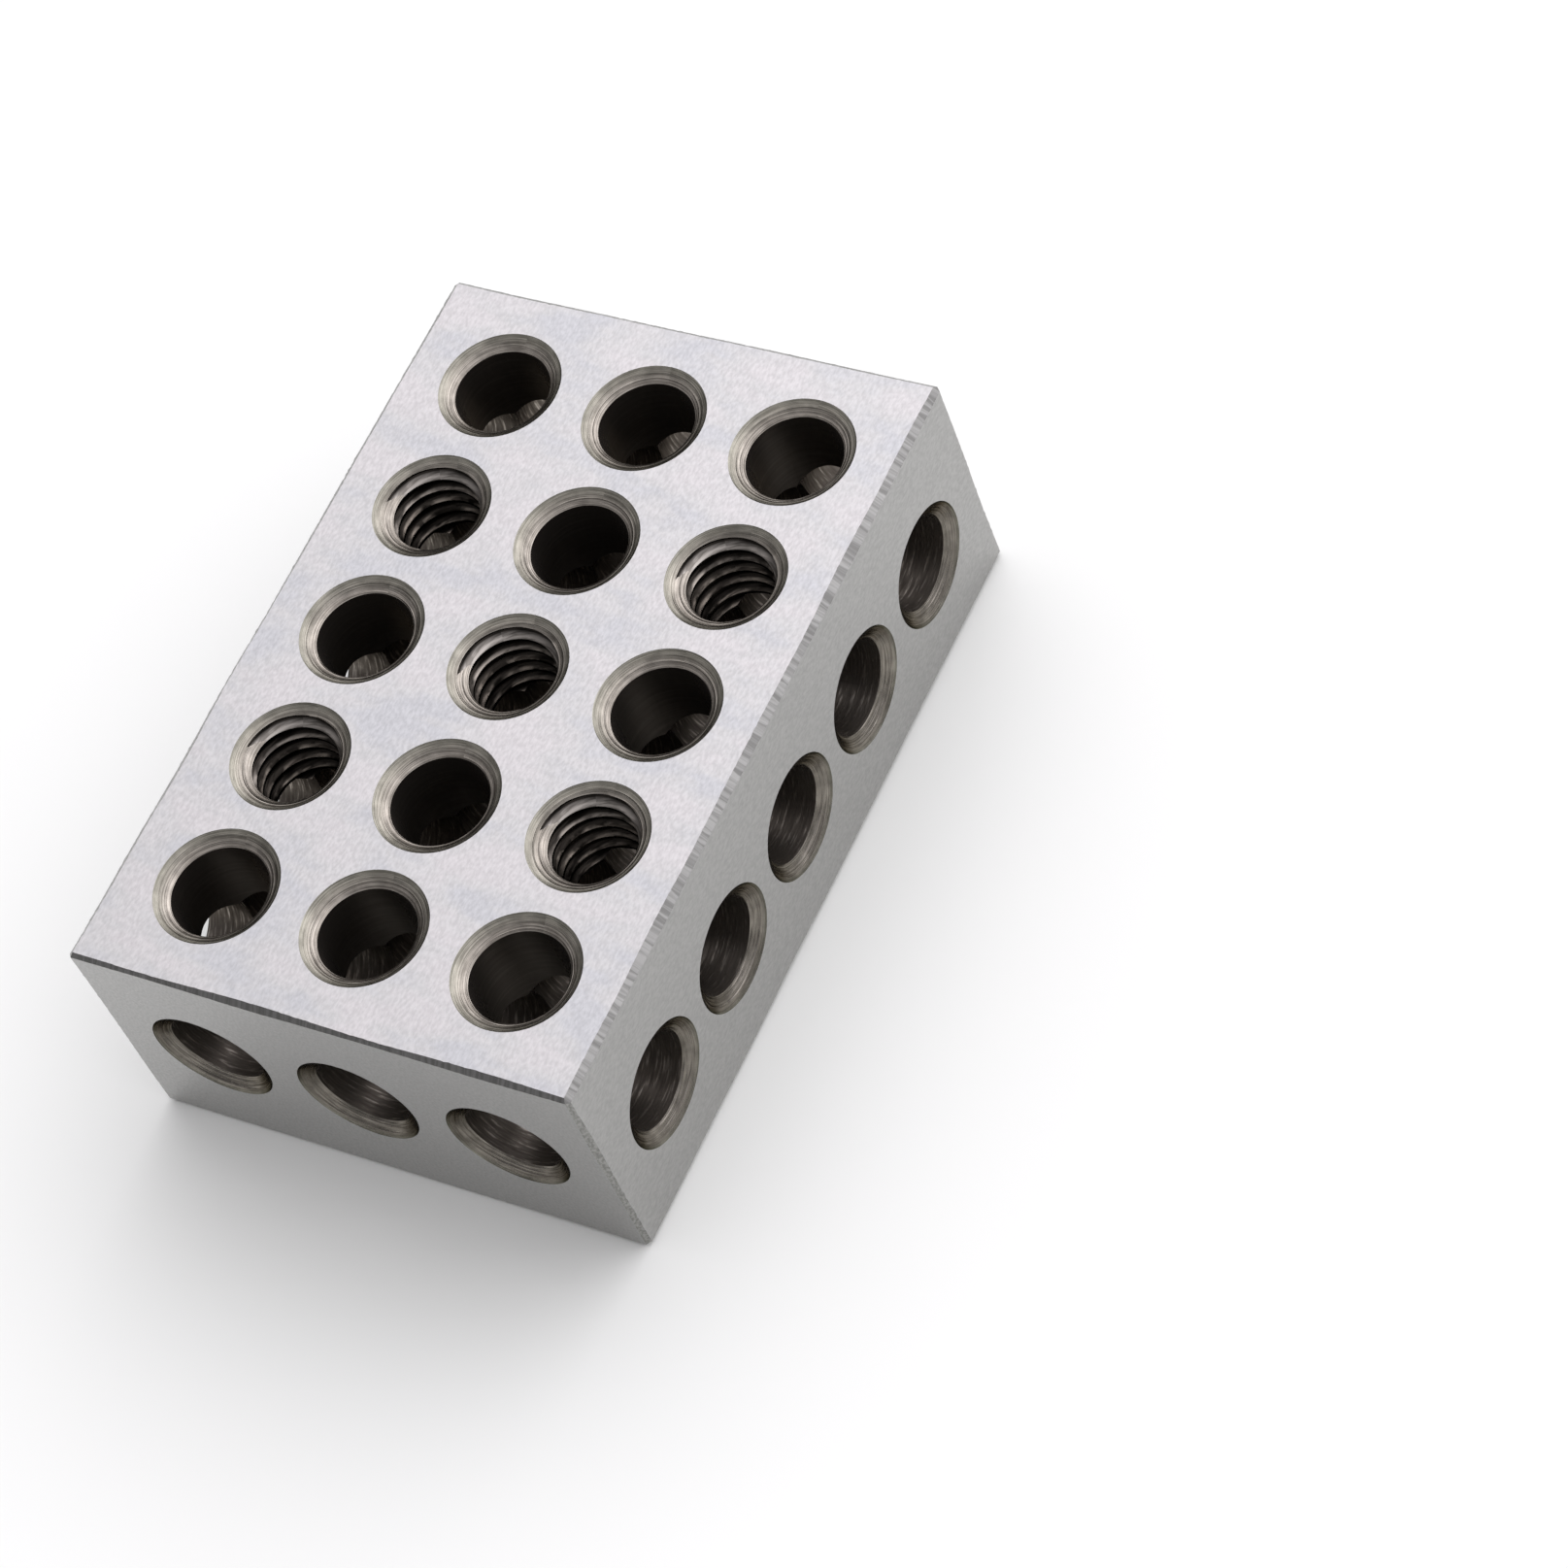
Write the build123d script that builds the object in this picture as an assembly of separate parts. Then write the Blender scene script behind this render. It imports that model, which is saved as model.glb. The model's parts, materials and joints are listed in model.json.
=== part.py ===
"""Machinist's setup block of one by two by three inches, drilled, countersunk and tapped on one lattice.

One piece of hardened steel, ground on all six faces. Holes run right through it along all three axes
and cross each other near mid height, so that bolts and studs can enter from any face.

Frame: millimetres, +Z up. The block lies on a widest face, with its length along X and its width along Y.
The origin is the centre of the face that it lies on.
"""

import os
from math import floor, radians, tan

from build123d import *

# Overall size: three, two and one inches
length = 76.2
width = 50.8
height = 25.4

# Every outer edge is broken by a small ground bevel of this leg
edge_bevel = 0.5

# Lattice: the outer holes stand this far from the ends and sides, and as many fit between as the
# least pitch allows, evenly spread
end_distance = 10.16
side_distance = 10.16
least_pitch = 13.0

# The holes across the width are drilled from both sides to meet in the middle. The back ones are at
# mid height, and the front ones are this much lower
front_drop = 1.0

# Plain holes, and the width of the sloping rim around each mouth
bore_diameter = 9.1
bore_rim_width = 1.35

# Tapped holes, drawn at the tapping drill's size for a 3/8-16 thread, with their own rim
tap_drill_diameter = 7.94
tap_rim_width = 1.69

# Full angle of all countersinks, in degrees
countersink_angle = 110.0

# Cutting tools reach this far past the faces that they break through
overrun = 1.0


def stations(span, margin):
    """Evenly spread hole positions along a side, centred on zero, with the outer ones at the margin."""
    reach = span - 2 * margin
    gaps = floor(reach / least_pitch)
    pitch = reach / gaps
    return [index * pitch - reach / 2 for index in range(gaps + 1)]


def mouth(diameter, rim_width, face):
    """Half outline of a cutter's mouth: out from the wall along the cone, past the face and in to the axis."""
    slope = tan(radians(countersink_angle / 2))
    radius = diameter / 2
    return [
        (radius, face - rim_width / slope),
        (radius + rim_width + overrun * slope, face + overrun),
        (0, face + overrun),
    ]


def through_hole(diameter, rim_width, depth):
    """A cutter along Z for a through hole, centred on the origin: a cylinder that opens to a cone at each end."""
    upper = mouth(diameter, rim_width, depth / 2)
    lower = [(radius, -height) for radius, height in reversed(upper)]
    return revolve(Plane.XZ * make_face(Polyline(*lower, *upper, close=True)), Axis.Z)


def half_hole(diameter, rim_width, depth):
    """A cutter along Z for one half of a through hole: from just past the origin up to a face."""
    upper = mouth(diameter, rim_width, depth)
    lower = [(0, -overrun), (diameter / 2, -overrun)]
    return revolve(Plane.XZ * make_face(Polyline(*lower, *upper, close=True)), Axis.Z)


def is_tapped(row, column):
    """Tapped holes alternate with plain ones, like the dark squares of a chessboard, between the two end rows."""
    inner_row = 0 < row < len(rows) - 1
    return inner_row and (row + column) % 2 == 1


rows = stations(length, end_distance)
columns = stations(width, side_distance)
middle = height / 2

# Holes down through the widest faces, plain and tapped
plain_down = through_hole(bore_diameter, bore_rim_width, height)
tapped_down = through_hole(tap_drill_diameter, tap_rim_width, height)
cutters = []
for row, x in enumerate(rows):
    for column, y in enumerate(columns):
        cutter = tapped_down if is_tapped(row, column) else plain_down
        cutters.append(Pos(x, y, middle) * cutter)

# Plain holes across the width, one at each row, from the front and from the back
from_side = half_hole(bore_diameter, bore_rim_width, width / 2)
from_front = Rot(X=90) * from_side
from_back = Rot(X=-90) * from_side
cutters += [Pos(x, 0, middle - front_drop) * from_front for x in rows]
cutters += [Pos(x, 0, middle) * from_back for x in rows]

# Plain holes along the length, one at each column
along = Rot(Y=90) * through_hole(bore_diameter, bore_rim_width, length)
cutters += [Pos(0, y, middle) * along for y in columns]

# The block itself, bevelled and then drilled
block = Box(length, width, height, align=(Align.CENTER, Align.CENTER, Align.MIN))
block = chamfer(block.edges(), edge_bevel)
setup_block = block - cutters

os.makedirs("parts", exist_ok=True)
export_step(setup_block, "parts/setup_block.step")
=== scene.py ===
"""A machinist's setup block of hardened steel, ground on six faces and drilled, countersunk and tapped.

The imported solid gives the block's box, and its mounts give the place, size and kind of every hole. The
block is made here as it is in a workshop: a blank with broken edges, cutters for the holes, taps for the
threads, and one cut with all of them. Lengths are in metres, and in the finishes in millimetres.
"""
import json
import random
from math import atan2, pi, radians, tan

import bmesh
import bpy
from mathutils import Matrix, Vector, noise

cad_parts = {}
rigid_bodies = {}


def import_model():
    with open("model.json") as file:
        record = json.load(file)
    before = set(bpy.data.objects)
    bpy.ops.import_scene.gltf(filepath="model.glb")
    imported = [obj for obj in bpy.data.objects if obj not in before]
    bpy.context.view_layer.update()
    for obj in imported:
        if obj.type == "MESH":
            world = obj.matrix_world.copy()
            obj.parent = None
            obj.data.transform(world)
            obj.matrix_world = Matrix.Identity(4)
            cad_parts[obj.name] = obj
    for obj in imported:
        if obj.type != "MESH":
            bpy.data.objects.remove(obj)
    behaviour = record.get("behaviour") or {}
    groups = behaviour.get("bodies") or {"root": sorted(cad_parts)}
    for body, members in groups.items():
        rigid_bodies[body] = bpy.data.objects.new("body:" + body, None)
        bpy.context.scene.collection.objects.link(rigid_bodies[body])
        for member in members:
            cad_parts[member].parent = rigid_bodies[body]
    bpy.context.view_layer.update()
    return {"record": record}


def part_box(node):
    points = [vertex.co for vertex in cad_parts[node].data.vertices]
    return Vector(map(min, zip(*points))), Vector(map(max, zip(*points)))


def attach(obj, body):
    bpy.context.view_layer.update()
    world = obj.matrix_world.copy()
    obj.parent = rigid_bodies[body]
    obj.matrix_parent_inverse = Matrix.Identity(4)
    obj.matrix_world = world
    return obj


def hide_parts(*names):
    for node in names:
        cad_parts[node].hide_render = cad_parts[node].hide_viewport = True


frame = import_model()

# The blank: one bar of tool steel, hardened, then ground flat and square on all six faces.
# Its edges are broken on a coarse wheel, which leaves narrow, uneven flats with nicks across them.
# The flats differ between edges along X, Y and Z, and the nicks between faces that look along X, Y and Z.
mm = 0.001
micron = 0.001 * mm
low_corner, high_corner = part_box("setup_block")
block_size = high_corner - low_corner
block_centre = (low_corner + high_corner) / 2
edge_flats = (0.58 * mm, 0.42 * mm, 0.40 * mm)
widest_flat = max(edge_flats)
edge_sway = 0.5
sway_length = 12 * mm
nick_spacing = 0.32 * mm
nick_wander = 0.3 * nick_spacing
nick_depths = (0.06 * mm, 0.08 * mm, 0.04 * mm)
nick_rarity = 5
band_tilt = radians(7)
narrow_face_tint = (0.386, 0.383, 0.374, 1.0)
narrow_face_margin = 0.1 * mm
square_on = 0.99
chance = random.Random(16)


def node(tree, kind, settings=None, **sockets):
    """Adds a shader node. Each named or numbered socket takes a constant, or the output that feeds it."""
    made = tree.nodes.new(kind)
    for name, value in (settings or {}).items():
        setattr(made, name, value)
    for name, value in sockets.items():
        socket = made.inputs[int(name[1:])] if name[1:].isdigit() else made.inputs[name.replace("_", " ")]
        if isinstance(value, bpy.types.NodeSocket):
            tree.links.new(value, socket)
        else:
            socket.default_value = value
    return made


def arithmetic(tree, operation, *terms):
    """The value of a sum, a product or another operation on its terms."""
    sockets = {f"_{index}": term for index, term in enumerate(terms)}
    return node(tree, "ShaderNodeMath", {"operation": operation}, **sockets).outputs["Value"]


def scaled(tree, vector, factor):
    """A vector or a colour, times a factor."""
    made = node(tree, "ShaderNodeVectorMath", {"operation": "SCALE"}, Vector=vector, Scale=factor)
    return made.outputs["Vector"]


def between(tree, value, least, most, start=0.0, end=1.0):
    """A value that goes from least to most, as the given one goes from start to end."""
    made = node(
        tree, "ShaderNodeMapRange", Value=value, From_Min=start, From_Max=end, To_Min=least, To_Max=most
    )
    return made.outputs["Result"]


def blend(tree, mask, first, second):
    """A colour that goes from the first to the second as a mask goes from 0 to 1."""
    return node(tree, "ShaderNodeMix", {"data_type": "RGBA"}, _0=mask, _6=first, _7=second).outputs[2]


def ramp(tree, mask, *stops):
    """A colour for each value of a mask, from stops of (position, colour)."""
    made = node(tree, "ShaderNodeValToRGB", Fac=mask)
    elements = made.color_ramp.elements
    while len(elements) < len(stops):
        elements.new(1.0)
    for element, (position, colour) in zip(elements, stops):
        element.position = position
        element.color = (*colour, 1.0)
    return made.outputs["Color"]


def object_place(tree):
    """Where a spot of the block is, in millimetres."""
    return scaled(tree, node(tree, "ShaderNodeTexCoord").outputs["Object"], 1 / mm)


def laid_out(tree, layer):
    """Where a spot is in one of the flat layouts of the faces, in millimetres."""
    return node(tree, "ShaderNodeUVMap", {"uv_map": layer}).outputs["UV"]


streaks = bpy.data.node_groups.new("streaks", "ShaderNodeTree")
streaks.interface.new_socket("Place", in_out="INPUT", socket_type="NodeSocketVector")
streaks.interface.new_socket("Length", in_out="INPUT", socket_type="NodeSocketVector")
streaks.interface.new_socket("Contrast", in_out="INPUT", socket_type="NodeSocketFloat")
streaks.interface.new_socket("Mask", in_out="OUTPUT", socket_type="NodeSocketFloat")
given = node(streaks, "NodeGroupInput").outputs
stretched = node(
    streaks, "ShaderNodeVectorMath", {"operation": "DIVIDE"}, _0=given["Place"], _1=given["Length"]
)
cloud = node(
    streaks, "ShaderNodeTexNoise", Vector=stretched.outputs["Vector"], Scale=1.0, Detail=3.0, Roughness=0.55
)
sharper = node(
    streaks,
    "ShaderNodeMath",
    {"operation": "MULTIPLY_ADD", "use_clamp": True},
    _0=arithmetic(streaks, "SUBTRACT", cloud.outputs["Fac"], 0.5),
    _1=given["Contrast"],
    _2=0.5,
)
node(streaks, "NodeGroupOutput", Mask=sharper.outputs["Value"])


def streak_mask(tree, place, length, contrast):
    """A mask of soft streaks of this length in millimetres along each axis of place."""
    made = node(
        tree, "ShaderNodeGroup", {"node_tree": streaks}, Place=place, Length=length, Contrast=contrast
    )
    return made.outputs["Mask"]


def bare_steel(name):
    """A new metal material: the material, its node tree and its shader."""
    material = bpy.data.materials.new(name)
    material.use_nodes = True
    shader = material.node_tree.nodes["Principled BSDF"]
    shader.inputs["Metallic"].default_value = 1.0
    return material, material.node_tree, shader


def finish_steel(tree, shader, tint, roughness, relief, strength, depth):
    """Feeds a metal's shader with a tint, a roughness, and a relief of this strength and depth."""
    tree.links.new(tint, shader.inputs["Base Color"])
    tree.links.new(roughness, shader.inputs["Roughness"])
    bump = node(tree, "ShaderNodeBump", Strength=strength, Distance=depth, Height=relief)
    tree.links.new(bump.outputs["Normal"], shader.inputs["Normal"])


ground_face, tree, shader = bare_steel("ground_face")
place = object_place(tree)
tilted = node(tree, "ShaderNodeMapping", Vector=place, Rotation=(0, 0, band_tilt)).outputs["Vector"]
bands = streak_mask(tree, tilted, length=(4.0, 11.0, 8.0), contrast=2.4)
grain = streak_mask(tree, place, length=(0.5, 0.26, 0.26), contrast=3.0)
mottled = ramp(
    tree, bands, (0.2, (0.400, 0.402, 0.407)), (0.5, (0.428, 0.424, 0.416)), (0.8, (0.450, 0.437, 0.431))
)
height = node(tree, "ShaderNodeSeparateXYZ", Vector=place).outputs["Z"]
off_wide_faces = (block_size.z / 2 - narrow_face_margin) / mm
on_narrow_face = arithmetic(tree, "COMPARE", height, block_centre.z / mm, off_wide_faces)
tint = blend(tree, on_narrow_face, mottled, narrow_face_tint)
finish_steel(
    tree,
    shader,
    tint=scaled(tree, tint, between(tree, grain, 0.92, 1.08)),
    roughness=between(tree, grain, 0.38, 0.29),
    relief=grain,
    strength=0.06,
    depth=0.02 * mm,
)

broken_edge, tree, shader = bare_steel("broken_edge")
nicks = streak_mask(tree, laid_out(tree, "marks"), length=(0.5, 0.4, 1.0), contrast=3.0)
finish_steel(
    tree,
    shader,
    tint=ramp(tree, nicks, (0.2, (0.205, 0.204, 0.193)), (0.8, (0.315, 0.314, 0.299))),
    roughness=between(tree, nicks, 0.42, 0.32),
    relief=nicks,
    strength=0.35,
    depth=0.02 * mm,
)


def run_along(edge, axis):
    """How far an edge runs along an axis."""
    first, second = edge.verts
    return abs(first.co[axis] - second.co[axis])


blank = bmesh.new()
bmesh.ops.create_cube(blank, size=1.0)
bmesh.ops.scale(blank, vec=block_size, verts=blank.verts)
bmesh.ops.translate(blank, vec=block_centre, verts=blank.verts)
bmesh.ops.bevel(
    blank, geom=blank.edges, offset=widest_flat, affect="EDGES", segments=1, profile=0.5, material=-1
)
ground_faces = [face for face in blank.faces if max(abs(part) for part in face.normal) > square_on]
bmesh.ops.delete(blank, geom=ground_faces, context="FACES_ONLY")
for axis in range(3):
    run = block_size[axis] - 2 * widest_flat
    borders = [edge for edge in blank.edges if abs(run_along(edge, axis) - run) < micron]
    bmesh.ops.subdivide_edges(blank, edges=borders, cuts=round(run / nick_spacing), use_grid_fill=True)
marks = blank.loops.layers.uv.new("marks")
for face in blank.faces:
    face.material_index = 1
    along_edge = min(range(3), key=lambda axis: abs(face.normal[axis]))
    for loop in face.loops:
        spot = loop.vert.co / mm
        loop[marks].uv = (spot[along_edge - 1] - spot[along_edge - 2], spot[along_edge])
for vert in blank.verts:
    offset = vert.co - block_centre
    inset = [block_size[axis] / 2 - abs(offset[axis]) for axis in range(3)]
    ground = min(range(3), key=lambda axis: inset[axis])
    set_back = [axis for axis in range(3) if abs(inset[axis] - widest_flat) < micron]
    for across in set_back:
        along_edge = 3 - ground - across
        outwards = 1 if offset[across] > 0 else -1
        worn = edge_flats[along_edge] * (1 + edge_sway * noise.noise(offset / sway_length))
        vert.co[across] += outwards * (widest_flat - worn)
    if len(set_back) == 1:
        vert.co[across] += chance.uniform(-1, 1) ** nick_rarity * nick_depths[ground]
        vert.co[along_edge] += chance.uniform(-1, 1) * nick_wander
for face in bmesh.ops.holes_fill(blank, edges=blank.edges, sides=0)["faces"]:
    face.material_index = 0
bmesh.ops.recalc_face_normals(blank, faces=blank.faces)

# The holes: drilled right through along all three axes on one lattice, across the width from both sides.
# Each cutter is turned about its axis: a drill with a countersink at each mouth.
# The countersinks leave turning rings in the steel. Facets and finishes depend on the hole's axis, and the
# holes across and along carry painted shade in their countersinks and bores.
countersink_half_angle = radians(55)
cutter_overrun = 1.0 * mm
ring_cuts = 3
ring_depth = 0.017 * mm
ring_width = 0.10 * mm
ring_places = (0.2, 0.8)
ring_half_shares = (0.3, 0.5)
ring_depth_shares = (0.4, 1.0)
facets_by_axis = (80, 76, 72)
layout_spacing = 100
grazing_tint = (0.10, 0.097, 0.09, 1.0)
mark_stops = (0.1, 0.65, 0.95)
deepest_shade = 10.0
shade_depths = (1.6, 4.2, 6.0, 8.0)
shade_stops = [depth / deepest_shade for depth in shade_depths]
cutters = bpy.data.collections.new("cutters")
bpy.context.scene.collection.children.link(cutters)


def hole_reach(tree):
    """How far a spot lies in from its hole's mouth, and out from its hole's axis, in millimetres."""
    reach = node(tree, "ShaderNodeSeparateXYZ", Vector=laid_out(tree, "reach")).outputs
    return reach["X"], reach["Y"]


def turned_cone(name, shade, shaded_rim):
    """The finish of a countersink: turning rings and patches of chatter, greener near the face and darker
    there as painted shade.

    The shade dims or brightens all of it as painted light, and the rim is how far in the painted shade near
    the face goes, in millimetres.
    """
    material, tree, shader = bare_steel(name)
    shader.inputs["Specular Tint"].default_value = grazing_tint
    place = laid_out(tree, "marks")
    rings = streak_mask(tree, place, length=(4.0, 0.06, 1.0), contrast=3.2)
    chatter = streak_mask(tree, place, length=(1.5, 0.6, 1.0), contrast=3.0)
    # Painted shade: the outer tint, near the face, is darker than the inner one.
    outer = ramp(tree, rings, (0.1, (0.16, 0.155, 0.125)), (0.9, (0.265, 0.257, 0.213)))
    inner = ramp(tree, rings, (0.1, (0.19, 0.172, 0.146)), (0.9, (0.35, 0.322, 0.280)))
    from_mouth, from_axis = hole_reach(tree)
    turned = blend(tree, between(tree, from_mouth, 0.0, 1.0, end=shaded_rim), outer, inner)
    finish_steel(
        tree,
        shader,
        tint=scaled(tree, turned, between(tree, chatter, 0.74 * shade, 1.20 * shade)),
        roughness=between(tree, rings, 0.31, 0.22),
        relief=rings,
        strength=0.5,
        depth=0.02 * mm,
    )
    return material


def bored_wall(name, mark_length, contrast, tints, roughness, strength, shades=(1.0, 1.0, 1.0)):
    """The finish of a bore: drill marks of this length round and along it, in tints from dark to light.

    The shades are painted shade: they dim it at the mouth, in the stub behind the mouth and past the first
    hole that crosses it.
    """
    material, tree, shader = bare_steel(name)
    shader.inputs["Specular Tint"].default_value = grazing_tint
    drill_marks = streak_mask(tree, laid_out(tree, "marks"), length=(*mark_length, 1.0), contrast=contrast)
    bright = ramp(tree, drill_marks, *zip(mark_stops, tints))
    from_mouth, from_axis = hole_reach(tree)
    depth = between(tree, from_mouth, 0.0, 1.0, end=deepest_shade)
    at_mouth, in_stub, past_crossing = [(shade, shade, shade) for shade in shades]
    # Painted shade: the tint grows darker deeper into the bore.
    dim = ramp(tree, depth, *zip(shade_stops, (at_mouth, in_stub, in_stub, past_crossing)))
    dimmed = node(tree, "ShaderNodeVectorMath", {"operation": "MULTIPLY"}, _0=bright, _1=dim)
    finish_steel(
        tree,
        shader,
        tint=dimmed.outputs["Vector"],
        roughness=between(tree, drill_marks, *roughness),
        relief=drill_marks,
        strength=strength,
        depth=0.03 * mm,
    )
    return material


# The countersinks of the holes across and along the block are dimmed as painted shade.
down_countersink = turned_cone("down_countersink", shade=1.0, shaded_rim=0.7)
shaded_cross_countersink = turned_cone("shaded_cross_countersink", shade=0.72, shaded_rim=0.25)
reamed_wall = bored_wall(
    "reamed_wall",
    mark_length=(7.0, 0.4),
    contrast=1.8,
    tints=((0.11, 0.098, 0.084), (0.13, 0.116, 0.101), (0.16, 0.144, 0.126)),
    roughness=(0.52, 0.46),
    strength=0.05,
)
crest_wall = bored_wall(
    "crest_wall",
    mark_length=(3.0, 0.2),
    contrast=2.4,
    tints=((0.014, 0.012, 0.010), (0.020, 0.0178, 0.015), (0.045, 0.040, 0.035)),
    roughness=(0.38, 0.32),
    strength=0.1,
)
drilled_wall = bored_wall(
    "drilled_wall",
    mark_length=(2.4, 0.28),
    contrast=2.4,
    tints=((0.115, 0.100, 0.085), (0.175, 0.155, 0.133), (0.46, 0.418, 0.367)),
    roughness=(0.58, 0.40),
    strength=0.35,
    # Painted shade: the bores across and along are dimmed behind their mouths, most in the stub.
    shades=(1.0, 0.3, 0.55),
)


def unroll(shape, radius, mouth, start):
    """Lays a cutter's faces out in millimetres, in two ways.

    "marks" runs round the hole and along it. "reach" runs in from the mouth's height and out from the axis.
    """
    marks = shape.loops.layers.uv.new("marks")
    reach = shape.loops.layers.uv.new("reach")
    for face in shape.faces:
        middle = face.calc_center_median()
        heading = atan2(middle.y, middle.x)
        for loop in face.loops:
            spot = loop.vert.co
            swing = (atan2(spot.y, spot.x) - heading + pi) % (2 * pi) - pi
            loop[marks].uv = ((heading + swing) * radius / mm + start, spot.z / mm)
            loop[reach].uv = ((mouth - abs(spot.z)) / mm, spot.xy.length / mm)


def cutter_mesh(shape, *finishes):
    """A mesh of a finished cutter, with the finishes that it leaves on the steel."""
    mesh = bpy.data.meshes.new("cutter")
    shape.to_mesh(mesh)
    shape.free()
    for finish in finishes:
        mesh.materials.append(finish)
    return mesh


def countersunk_drill(radius, wall, depth, through, steps, start, finishes):
    """A closed cutter about Z: a bore of this wall length, with a countersink of this depth above it.

    A drill that goes right through has the same countersink below it too.
    """
    flare = tan(countersink_half_angle)
    slope = Vector((flare, 1)) * depth
    outwards = Vector((-1, flare)).normalized()
    inner = Vector((radius, wall / 2))
    upper = [inner]
    for ring in range(ring_cuts):
        middle = inner + slope * (ring + chance.uniform(*ring_places)) / (ring_cuts + 1)
        half = slope.normalized() * ring_width * chance.uniform(*ring_half_shares)
        upper.append(middle - half)
        upper.append(middle + outwards * ring_depth * chance.uniform(*ring_depth_shares))
        upper.append(middle + half)
    upper.append(inner + slope)
    upper.append(upper[-1] + slope * cutter_overrun / depth)
    upper.append(Vector((0, upper[-1].y)))
    lower = [Vector((point.x, -point.y)) for point in reversed(upper)]
    if not through:
        lower = [Vector((across, -wall / 2 - cutter_overrun)) for across in (0, radius)]
    shape = bmesh.new()
    points = [shape.verts.new((point.x, 0, point.y)) for point in lower + upper]
    lines = [shape.edges.new(pair) for pair in zip(points, points[1:])]
    bmesh.ops.spin(
        shape,
        geom=points + lines,
        cent=(0, 0, 0),
        axis=(0, 0, 1),
        angle=2 * pi,
        steps=steps,
        use_merge=True,
    )
    bmesh.ops.remove_doubles(shape, verts=shape.verts, dist=micron)
    bmesh.ops.recalc_face_normals(shape, faces=shape.faces)
    for face in shape.faces:
        face.material_index = int(abs(face.calc_center_median().z) < wall / 2)
    unroll(shape, radius, wall / 2 + depth, start)
    return cutter_mesh(shape, *finishes)


holes = [mount for mount in frame["record"]["mounts"] if mount["kind"] in ("bore", "threaded_hole")]
for number, hole in enumerate(holes):
    hole_axis = Vector(hole["axis"])
    main_axis = max(range(3), key=lambda axis: abs(hole_axis[axis]))
    wall = hole["dims"]["length_mm"] * mm
    off_middle = (Vector(hole["pos_m"]) - block_centre).dot(hole_axis)
    finishes = (shaded_cross_countersink, drilled_wall)
    if main_axis == 2:
        finishes = (down_countersink, crest_wall if hole["kind"] == "threaded_hole" else reamed_wall)
    drill = countersunk_drill(
        radius=hole["dims"]["r_mm"] * mm,
        wall=wall,
        depth=(abs(block_size.dot(hole_axis)) - wall) / 2 - off_middle,
        through=abs(off_middle) < cutter_overrun,
        steps=facets_by_axis[main_axis],
        start=layout_spacing * number,
        finishes=finishes,
    )
    turn = hole_axis.to_track_quat("Z", "Y").to_matrix().to_4x4()
    drill.transform(Matrix.Translation(hole["pos_m"]) @ turn)
    cutters.objects.link(bpy.data.objects.new("drill", drill))

# The threads: five of the holes are tapped 3/8 inch, 16 turns to the inch, right through.
# The tap is a groove's section carried up a helix past both faces, so it runs out in the countersinks.
# Inside, the roots are painted dark as shadow, and deeper in the flanks are painted darker as shade, in
# random patches.
inch = 25.4 * mm
thread_pitch = inch / 16
tap_oversize = 0.09 * mm
thread_radius = inch * 3 / 16 + tap_oversize
root_half_width = thread_pitch / 16
flank_slope = tan(radians(30))
crest_break = 0.07 * mm
inner_reach = 0.25 * mm
spare_turns = 2
facets_per_turn = 48
first_turn = radians(214)
turn_spread = radians(16)
# Between these depths the flanks fade to painted shade, and the painted shadow at the roots spreads out
# towards the crests.
flank_shade_depths = (0.8, 3.5)
dark_root_depths = (1.0, 1.9)
root_dark_within = 0.52
crest_dark_past = 0.03
root_fade = 0.38
tapped_holes = [hole for hole in holes if hole["kind"] == "threaded_hole"]
crest_radius = tapped_holes[0]["dims"]["r_mm"] * mm

thread_groove, tree, shader = bare_steel("thread_groove")
shader.inputs["Specular Tint"].default_value = grazing_tint
tap_marks = streak_mask(tree, laid_out(tree, "marks"), length=(2.5, 0.2, 1.0), contrast=3.0)
mouth_flank = ramp(tree, tap_marks, (0.2, (0.20, 0.184, 0.163)), (0.8, (0.48, 0.45, 0.41)))
# Painted shade: the deep flank tint is darker than the one at the mouth.
deep_flank = ramp(tree, tap_marks, (0.2, (0.06, 0.051, 0.042)), (0.8, (0.25, 0.218, 0.182)))
root = ramp(tree, tap_marks, (0.2, (0.006, 0.0053, 0.0045)), (0.8, (0.022, 0.019, 0.016)))
from_mouth, from_axis = hole_reach(tree)
inwards = between(tree, from_mouth, 0.0, 1.0, *flank_shade_depths)
patches = streak_mask(tree, object_place(tree), length=(2.4, 2.4, 1.3), contrast=6.0)
# Painted shade: deeper in, the flanks are dimmed, in random patches.
patchy_flank_shade = between(tree, inwards, 1.0, between(tree, patches, 1.2, 0.06))
flank = scaled(tree, blend(tree, inwards, mouth_flank, deep_flank), patchy_flank_shade)
# Painted shadow: the root is dark from a radius that moves out to the crest deeper in.
dark_at_mouth = thread_radius / mm - root_dark_within
dark_inside = crest_radius / mm - crest_dark_past
dark_from = between(tree, from_mouth, dark_at_mouth, dark_inside, *dark_root_depths)
into_root = between(tree, arithmetic(tree, "SUBTRACT", from_axis, dark_from), 0.0, 1.0, end=root_fade)
finish_steel(
    tree,
    shader,
    tint=blend(tree, into_root, flank, root),
    roughness=between(tree, tap_marks, 0.36, 0.25),
    relief=tap_marks,
    strength=0.3,
    depth=0.02 * mm,
)

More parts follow.
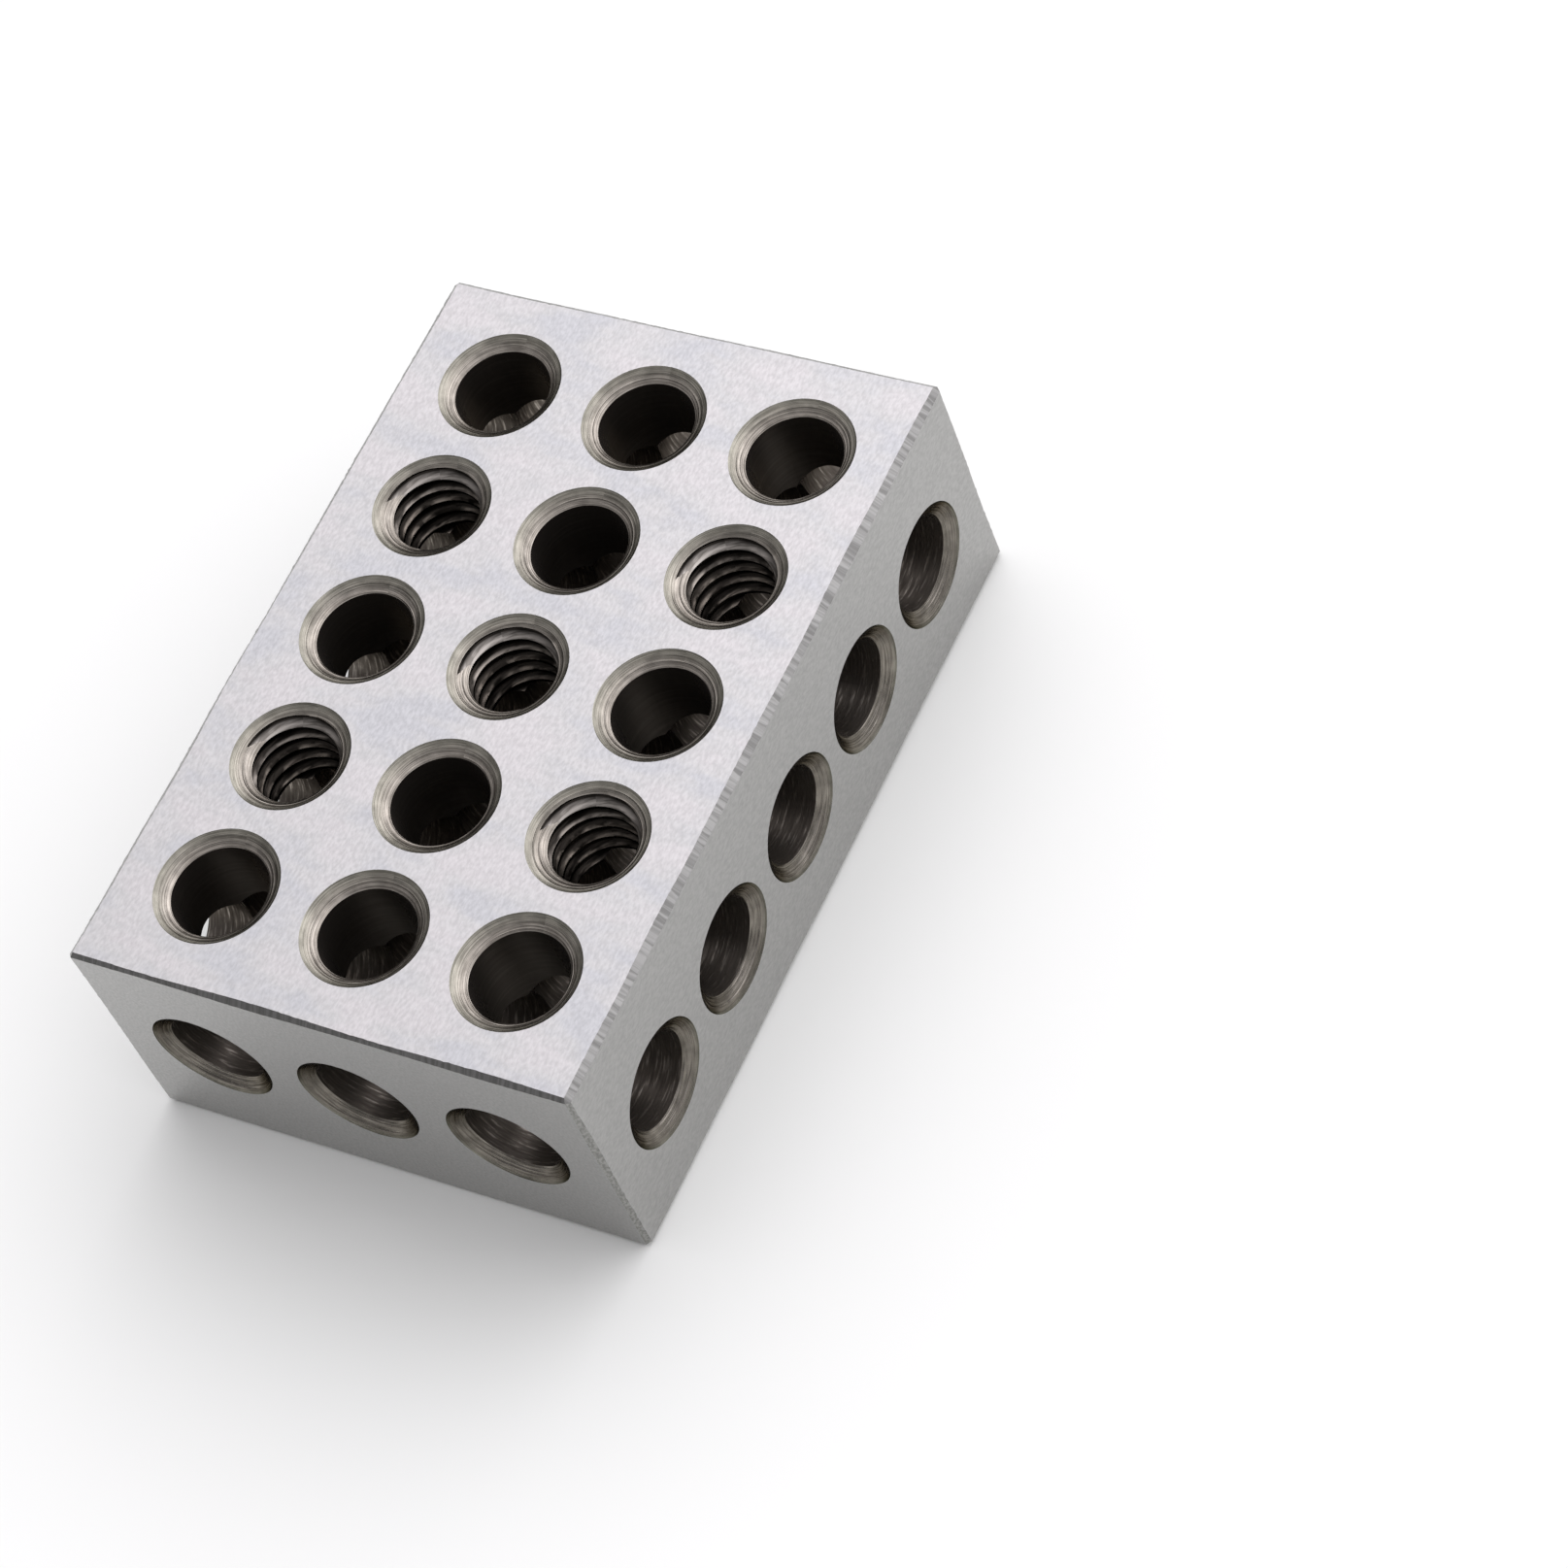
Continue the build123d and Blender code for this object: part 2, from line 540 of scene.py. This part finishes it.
turns = round(block_size.z / thread_pitch) + spare_turns
crest_half_width = root_half_width + (thread_radius - crest_radius - crest_break) * flank_slope
section = [
    (thread_radius, root_half_width),
    (crest_radius + crest_break, crest_half_width),
    (crest_radius - crest_break, crest_half_width + 2 * crest_break),
    (crest_radius - inner_reach, crest_half_width + 2 * crest_break),
]
section = [(radius, -half) for radius, half in reversed(section)] + section
first_height = -turns * thread_pitch / 2
tap = bmesh.new()
corners = [tap.verts.new((radius, 0, first_height + height)) for radius, height in section]
lines = [tap.edges.new(pair) for pair in zip(corners, corners[1:] + corners[:1])]
bmesh.ops.spin(
    tap,
    geom=corners + lines,
    cent=(0, 0, 0),
    axis=(0, 0, 1),
    angle=2 * pi * turns,
    dvec=(0, 0, thread_pitch / facets_per_turn),
    steps=turns * facets_per_turn,
    use_merge=False,
)
bmesh.ops.holes_fill(tap, edges=tap.edges, sides=0)
bmesh.ops.recalc_face_normals(tap, faces=tap.faces)
unroll(tap, crest_radius, block_size.z / 2, 0)
tap_mesh = cutter_mesh(tap, thread_groove)
for hole in tapped_holes:
    placed = tap_mesh.copy()
    start_turn = first_turn + chance.uniform(-1, 1) * turn_spread
    placed.transform(Matrix.Translation(hole["pos_m"]) @ Matrix.Rotation(start_turn, 4, "Z"))
    cutters.objects.link(bpy.data.objects.new("tap", placed))

# The block itself: the blank less all its cutters, as one closed solid of steel.
# The ground faces stay flat, and all else is shaded round up to its sharp edges.
smooth_angle = radians(32)

blank_mesh = bpy.data.meshes.new("blank")
blank.to_mesh(blank_mesh)
blank.free()
blank_mesh.materials.append(ground_face)
blank_mesh.materials.append(broken_edge)
rough_block = bpy.data.objects.new("blank", blank_mesh)
bpy.context.scene.collection.objects.link(rough_block)
cut = rough_block.modifiers.new("cut", "BOOLEAN")
cut.operation = "DIFFERENCE"
cut.operand_type = "COLLECTION"
cut.collection = cutters
cut.solver = "MANIFOLD"
cut.material_mode = "TRANSFER"
evaluated = rough_block.evaluated_get(bpy.context.evaluated_depsgraph_get())
block_mesh = bpy.data.meshes.new_from_object(evaluated)
for used in [*cutters.objects, rough_block]:
    bpy.data.objects.remove(used)
bpy.data.collections.remove(cutters)

flat_finish = block_mesh.materials.find(ground_face.name)
finished = bmesh.new()
finished.from_mesh(block_mesh)
bmesh.ops.remove_doubles(finished, verts=finished.verts, dist=micron)
for face in finished.faces:
    face.smooth = face.material_index != flat_finish
finished.to_mesh(block_mesh)
finished.free()
block_mesh.set_sharp_from_angle(angle=smooth_angle)
block = bpy.data.objects.new("ground_block", block_mesh)
bpy.context.scene.collection.objects.link(block)
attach(block, "root")
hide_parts("setup_block")

# The floor and the light: a matt, pale table top, just under the block.
# Over it is a bright, soft sky that leans to one side and dims towards the horizon.
floor_half = 3.0
floor_gap = 0.02 * mm
floor_white = (0.86, 0.873, 0.833)
floor_roughness = 0.9
sky_middle = -0.57
sky_fill = 0.11
sky_lean = Vector((1.38, -0.20, 0.75))
sky_tint = (1.0, 0.98, 1.035)
horizon_dims = (-0.05, 0.45)

plate = bmesh.new()
bmesh.ops.create_grid(plate, x_segments=1, y_segments=1, size=floor_half)
bmesh.ops.translate(plate, vec=(0, 0, low_corner.z - floor_gap), verts=plate.verts)
floor_mesh = bpy.data.meshes.new("floor")
plate.to_mesh(floor_mesh)
plate.free()
floor = bpy.data.objects.new("floor", floor_mesh)
bpy.context.scene.collection.objects.link(floor)
table_top = bpy.data.materials.new("table_top")
table_top.use_nodes = True
paint = table_top.node_tree.nodes["Principled BSDF"]
paint.inputs["Base Color"].default_value = (*floor_white, 1.0)
paint.inputs["Roughness"].default_value = floor_roughness
paint.inputs["Specular IOR Level"].default_value = 0.0
floor_mesh.materials.append(table_top)

world = bpy.data.worlds.new("studio")
world.use_nodes = True
bpy.context.scene.world = world
tree = world.node_tree
facing = node(tree, "ShaderNodeTexCoord").outputs["Generated"]
lean = node(tree, "ShaderNodeVectorMath", {"operation": "DOT_PRODUCT"}, _0=facing, _1=sky_lean)
leaning = arithmetic(tree, "EXPONENT", arithmetic(tree, "ADD", lean.outputs["Value"], sky_middle))
glow = arithmetic(tree, "ADD", leaning, sky_fill)
rise = node(
    tree,
    "ShaderNodeMapRange",
    {"interpolation_type": "SMOOTHSTEP"},
    Value=node(tree, "ShaderNodeSeparateXYZ", Vector=facing).outputs["Z"],
    From_Min=horizon_dims[0],
    From_Max=horizon_dims[1],
)
sky = tree.nodes["Background"]
sky.inputs["Color"].default_value = (*sky_tint, 1.0)
tree.links.new(arithmetic(tree, "MULTIPLY", glow, rise.outputs["Result"]), sky.inputs["Strength"])

# The camera: above one corner of the block, with a long lens.
# It is rolled, so that the block leans in the picture.
camera_place = Vector((-0.1845, -0.2156, 0.3715))
aim = Vector((0.00886, -0.01614, 0.0))
roll = radians(-24.98)
lens = 117.14
sensor_width = 36.0
nearest_view = 0.01

camera_data = bpy.data.cameras.new("camera")
camera_data.lens = lens
camera_data.sensor_width = sensor_width
camera_data.clip_start = nearest_view
camera = bpy.data.objects.new("camera", camera_data)
bpy.context.scene.collection.objects.link(camera)
gaze = (aim - camera_place).to_track_quat("-Z", "Y").to_matrix().to_4x4()
camera.matrix_world = Matrix.Translation(camera_place) @ gaze @ Matrix.Rotation(roll, 4, "Z")
bpy.context.scene.camera = camera

bpy.context.scene.view_settings.view_transform = "Standard"
